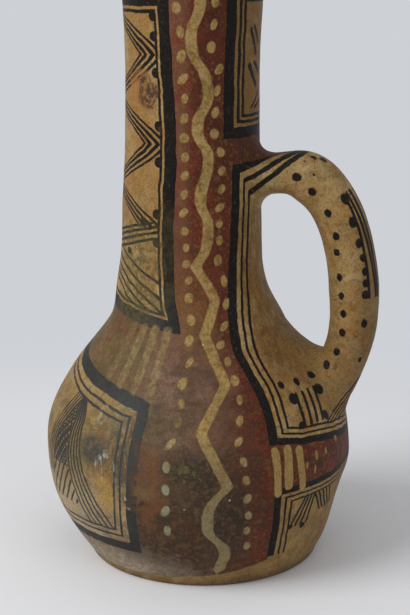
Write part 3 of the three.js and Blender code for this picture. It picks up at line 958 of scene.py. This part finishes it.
def lipCoil():
    bead = vessel["lipBead"]
    seatTop = topOf("mouth_wall")
    seatLow = bottomOf("lip_coil")
    outerSeat = readOff(outerFace, seatTop)
    innerSeat = readOff(innerFace, seatLow)
    middle = (outerSeat + innerSeat) / 2
    rise = topOf("lip_coil") - bead
    dip = math.asin((rise - seatTop) / bead)
    profile = []
    steps = vessel["beadSteps"]
    for step in range(steps + 1):
        turn = -dip + (math.pi + 2 * dip) * step / steps
        profile.append((middle + bead * math.cos(turn), rise + bead * math.sin(turn)))
    profile[0] = (outerSeat, seatTop)
    return fired(turned(profile + [(innerSeat, seatLow)], closed=True), "lip_coil", "red_slip", wallSkin)


baseSlab()
for number in range(len(lifts)):
    wallLift(number)
lipCoil()

# Handle: a clay roll on a bowed centre line, pegged into the wall and luted round both roots
roll = dict(
    thickness=25.4, width=28, overhang=14.5, bowHeight=137.5, bowAbove=42.5, bowBelow=19,
    upperRoot=211.5, upperReach=38, upperRise=13.5, lowerRoot=96.5, lowerReach=6, lowerRise=9.5,
    swell=[(-30, 0.92), (0, 0.92), (14, 0.96), (30, 1.06), (46, 1.01), (78, 1.01), (96, 1.03), (112, 1.01),
           (130, 0.98), (190, 1.0)],
    spine=[(11, 8, -2.4), (72, 34, 0.9)],  # distance, reach, push of the outer side only
    peg=8, pegMiddle=4.2, sink=1.6, around=72, rows=96, armSteps=140, legSteps=80,
    rootSearch=(-24, 44), halvings=34)  # where along the roll its meeting with the wall is looked for


def rootAt(height):
    return Vector((readOff(outerFace, height) + leanAt(height), 0, height))


def centreLine():
    r = roll
    upper, lower = rootAt(r["upperRoot"]), rootAt(r["lowerRoot"])
    bowX = vessel["belly"][0] + leanAt(vessel["belly"][1]) + r["overhang"] - r["thickness"] / 2
    bow = Vector((bowX, 0, r["bowHeight"]))
    arm = curveThrough(upper, upper + Vector((r["upperReach"], 0, r["upperRise"])),
                       bow + Vector((0, 0, r["bowAbove"])), bow, count=r["armSteps"])
    leg = curveThrough(bow, bow - Vector((0, 0, r["bowBelow"])),
                       lower + Vector((r["lowerReach"], 0, r["lowerRise"])), lower, count=r["legSteps"])
    return arm + leg[1:]


centres = centreLine()
travel = [0.0]
for before, after in zip(centres, centres[1:]):
    travel.append(travel[-1] + (after - before).length)
rollLength = travel[-1]


def swellAt(distance):  # the roll is pinched by its upper root and fullest where it bends
    knots = roll["swell"]
    i = min(max(bisect(knots, (distance,)), 1), len(knots) - 1)
    (start, low), (end, high) = knots[i - 1], knots[i]
    share = min(max((distance - start) / (end - start), 0), 1)
    return low + (high - low) * share * share * (3 - 2 * share)


def rollPoint(distance, turn, halfThick, halfWide):  # a point on the roll: its turn is 0 on the outer spine
    i = min(max(bisect(travel, distance), 1), len(travel) - 1)
    before, after = centres[i - 1], centres[i]
    forward = (after - before).normalized()
    centre = before + forward * (distance - travel[i - 1])
    outward = Vector((-forward.z, 0, forward.x))
    thick = halfThick * swellAt(distance) * math.cos(turn)
    for place, reach, push in roll["spine"]:
        thick += push * math.exp(-((distance - place) / reach) ** 2) * max(0, math.cos(turn))
    return centre + outward * thick + Vector((0, halfWide * math.sin(turn), 0))


def endPoint(lower, away, turn, section, grow=0):  # the same, measured from one of the roots
    return rollPoint(rollLength - away if lower else away, turn, section[0] + grow, section[1] + grow)


def standOff(co):  # how far a point stands out from the vessel's outer face
    return math.hypot(co.x - leanAt(co.z), co.y) - readOff(outerFace, co.z)


def meeting(lower, turn, section, depth=0):  # distance from the root at which a roll's skin reaches the wall
    low, high = roll["rootSearch"]
    for _ in range(roll["halvings"]):
        middle = (low + high) / 2
        if standOff(endPoint(lower, middle, turn, section)) < -depth:
            low = middle
        else:
            high = middle
    return low


def ontoFace(co, table, clear):
    reach = Vector((co.x - leanAt(co.z), co.y, 0)).normalized() * (readOff(table, co.z) + clear)
    return Vector((leanAt(co.z) + reach.x, reach.y, co.z))


rollSection = (roll["thickness"] / 2, roll["width"] / 2)
pegSection = (roll["peg"], roll["peg"])
turns = [2 * math.pi * i / roll["around"] for i in range(roll["around"])]


def pegRows(lower):  # from the peg's inner end out to its shoulder under the roll
    rows = []
    for depth in (vessel["wall"], roll["pegMiddle"], roll["sink"]):
        ends = [meeting(lower, turn, pegSection, depth) for turn in turns]
        rows.append([endPoint(lower, end, turn, pegSection) for end, turn in zip(ends, turns)])
    return rows


def handleRoll():
    r = roll
    starts = [meeting(False, turn, rollSection, r["sink"]) for turn in turns]
    ends = [rollLength - meeting(True, turn, rollSection, r["sink"]) for turn in turns]
    rows = pegRows(False)
    for number in range(r["rows"] + 1):
        share = number / r["rows"]
        rows.append([rollPoint(start + (end - start) * share, turn, *rollSection)
                     for start, end, turn in zip(starts, ends, turns)])
    rows += pegRows(True)[::-1]
    bm = loops(rows, r["around"])
    closeEnds(bm)
    press(bm)
    return fired(bm, "handle_roll", "cream_slip", handleSkin)


def press(bm):  # notes each point's place on the roll for the painting, then shapes it by hand
    along = bm.verts.layers.float.new("along")
    around = bm.verts.layers.float.new("around")
    for vert in bm.verts:
        vert[along], vert[around] = rollPlace(vert.co)
        vert.co = handShaped(vert.co)


def rollPlace(co):  # how far along the roll a point lies, and its turn from the spine in degrees
    i = min(range(len(centres)), key=lambda n: (centres[n].x - co.x) ** 2 + (centres[n].z - co.z) ** 2)
    forward = (centres[min(i + 1, len(centres) - 1)] - centres[max(i - 1, 0)]).normalized()
    out = (co - centres[i]).dot(Vector((-forward.z, 0, forward.x)))
    return travel[i], math.degrees(math.atan2(abs(co.y) / rollSection[1], out / rollSection[0]))


# Luting clay: its reach along the roll, spread over the wall, and how far it rises and fills under the hand
luting = dict(
    upper=dict(reach=9, spread=9, rise=0, fill=0),
    lower=dict(reach=13, spread=14, rise=33, fill=0.6),
    steps=16, sunk=0.25,  # its edges lie this far in the clay
    buried=1.2, hidden=0.4)  # depth of its hidden side, and the share of its width where that side starts


def handleLute(lower, node, reach, spread, rise, fill):  # clay smeared into the angle round a root
    steps, sunk = luting["steps"], luting["sunk"]
    buried, hidden = luting["buried"], luting["hidden"]
    sections = []
    for turn in turns:
        met = meeting(lower, turn, rollSection)
        corner = endPoint(lower, met, turn, rollSection)
        away = (corner - endPoint(lower, met, turn, (0, 0))).normalized()
        underHand = max(0, -math.cos(turn)) ** 2
        spreading = spread + rise * underHand
        start = endPoint(lower, met + reach, turn, rollSection, -sunk)
        foot = ontoFace(corner + away * spreading, outerFace, -sunk)
        hollow = corner.lerp((start + foot) / 2, fill * underHand)
        section = []
        for step in range(steps + 1):
            share = step / steps
            section.append(start * (1 - share) ** 2 + hollow * 2 * share * (1 - share) + foot * share ** 2)
        section.append(ontoFace(corner + away * spreading * hidden, outerFace, -buried))
        section.append(endPoint(lower, met + reach * hidden, turn, rollSection, -buried))
        section.append(start)
        sections.append(section)
    rows = [list(row) for row in zip(*sections)]
    bm = loops(rows, roll["around"])
    press(bm)
    return fired(bm, node, "cream_slip", handleSkin)


wad = dict(radius=13, height=4.5, steps=7, thinnest=0.03, lift=0.2, lumps=0.5, lumpSize=5)


def pegWad(lower, node):  # lump of clay pressed over the peg inside
    w = wad
    inner = endPoint(lower, -vessel["wall"], 0, (0, 0))
    seat = ontoFace(inner, innerFace, 0)
    into = Vector((leanAt(seat.z) - seat.x, -seat.y, 0)).normalized()
    level = Vector((0, 1, 0))
    upward = into.cross(level)
    rows = []
    for step in range(-w["steps"], w["steps"] + 1):
        share = min(1, 1 - abs(step) / w["steps"] + w["thinnest"])
        row = []
        for turn in turns:
            spot = seat + (level * math.cos(turn) + upward * math.sin(turn)) * w["radius"] * share
            spot = ontoFace(spot, innerFace, w["lift"])
            dome = w["height"] * math.sqrt(max(0, 1 - share * share)) if step > 0 else 0
            row.append(spot + into * dome)
        rows.append(row)
    bm = loops(rows, roll["around"])
    closeEnds(bm)
    for vert in bm.verts:
        vert.co = handShaped(vert.co) + into * w["lumps"] * noise.noise(vert.co / w["lumpSize"])
    return fired(bm, node, "bare_clay", rawSkin)


handleRoll()
handleLute(False, "upper_handle_lute", **luting["upper"])
handleLute(True, "lower_handle_lute", **luting["lower"])
pegWad(False, "upper_peg_wad")
pegWad(True, "lower_peg_wad")

# Floor that curves up behind, soft studio light and the camera
studio = dict(
    floorWide=6.0, floorDeep=2.4, bend=0.9, bendSteps=16, rise=3.0, floorTone=(235, 236, 239), floorMottle=6,
    backTone=(205, 208, 213),
    floorShows=(0.2, 0.5),  # the floor itself shows this near, then the even backdrop
    world=0.58, worldTone=(240, 240, 240),
    key=26.0, keyPlace=(-1.25, -0.95, 1.4), keySize=1.3,
    fill=3.0, fillPlace=(1.3, -1.2, 0.9), fillSize=1.2,
    aim=(0.0, 0.0, 0.137), azimuth=10.0, elevation=13.5, distance=0.8, aside=0.0005, lens=85.0)


def inSight(start):  # 1 where the camera looks, straight or by way of the vase
    rays = ("Is Camera Ray", "Is Glossy Ray", "Is Transmission Ray")
    return most(*[start.node("LightPath", output=ray) for ray in rays])


def floorSkin():
    st = studio
    material = newMaterial("pale_floor")
    start = Wire(material.node_tree)
    place = start.place()
    paper = mottle(place, 0.6, 2)
    deeper = [value - st["floorMottle"] for value in st["floorTone"]]
    colour = blend(shade(*st["floorTone"]), shade(*deeper), paper)
    surface = start.node("BsdfPrincipled", {"Base Color": colour, "Roughness": 0.9})
    backdrop = start.node("Emission", {"Color": shade(*st["backTone"]), "Strength": 1.0})
    near, far = st["floorShows"]
    away = place.node("VectorMath", {0: place}, "Value", operation="LENGTH")
    spread = away.node("MapRange", {"Value": away, "From Min": near, "From Max": far},
                       interpolation_type="SMOOTHSTEP")
    surface = start.node("MixShader", {0: inSight(start) * spread, 1: surface, 2: backdrop})
    start.node("OutputMaterial", {"Surface": surface})
    return material


def sweepFloor():
    st = studio
    bm = bmesh.new()
    profile = [(-st["floorDeep"], 0)]
    for step in range(st["bendSteps"] + 1):
        turn = math.pi / 2 * step / st["bendSteps"]
        profile.append((st["floorDeep"] + st["bend"] * math.sin(turn), st["bend"] * (1 - math.cos(turn))))
    profile.append((st["floorDeep"] + st["bend"], st["rise"]))
    verts = [bm.verts.new((-st["floorWide"] / 2, deep, up)) for deep, up in profile]
    edges = [bm.edges.new(pair) for pair in zip(verts, verts[1:])]
    made = bmesh.ops.extrude_edge_only(bm, edges=edges)["geom"]
    bmesh.ops.translate(bm, vec=(st["floorWide"], 0, 0), verts=onlyKind(made, bmesh.types.BMVert))
    bmesh.ops.recalc_face_normals(bm, faces=bm.faces)
    for face in bm.faces:
        face.smooth = True
    floor = putInScene("floor", finishedMesh(bm, "floor", [floorSkin()]))


def softLamp(name, power, place, size):
    data = bpy.data.lights.new(name, "AREA")
    data.energy = power
    data.shape = "DISK"
    data.size = size
    lamp = putInScene(name, data)
    lamp.location = place
    lamp.rotation_euler = (Vector(studio["aim"]) - Vector(place)).to_track_quat("-Z", "Y").to_euler()


def setCamera():
    st = studio
    turn, tilt = math.radians(st["azimuth"]), math.radians(st["elevation"])
    back = Vector((math.sin(turn) * math.cos(tilt), -math.cos(turn) * math.cos(tilt), math.sin(tilt)))
    right = Vector((math.cos(turn), math.sin(turn), 0))
    data = bpy.data.cameras.new("camera")
    data.lens = st["lens"]
    data.sensor_width = 36
    camera = putInScene("camera", data)
    axes = Matrix((right, back.cross(right), back)).transposed()
    place = Vector(st["aim"]) + right * st["aside"] + back * st["distance"]
    camera.matrix_world = Matrix.Translation(place) @ axes.to_4x4()
    bpy.context.scene.camera = camera


def setWorld():
    world = bpy.data.worlds.new("studio")
    world.use_nodes = True
    world.node_tree.nodes.clear()
    start = Wire(world.node_tree)
    light = start.node("Background", {"Color": shade(*studio["worldTone"]), "Strength": studio["world"]})
    backdrop = start.node("Background", {"Color": shade(*studio["backTone"]), "Strength": 1.0})
    surface = start.node("MixShader", {0: inSight(start), 1: light, 2: backdrop})
    start.node("OutputWorld", {"Surface": surface})
    bpy.context.scene.world = world


sweepFloor()
softLamp("key", studio["key"], studio["keyPlace"], studio["keySize"])
softLamp("fill", studio["fill"], studio["fillPlace"], studio["fillSize"])
setCamera()
setWorld()
bpy.context.scene.view_settings.view_transform = "Standard"
print("studio set")
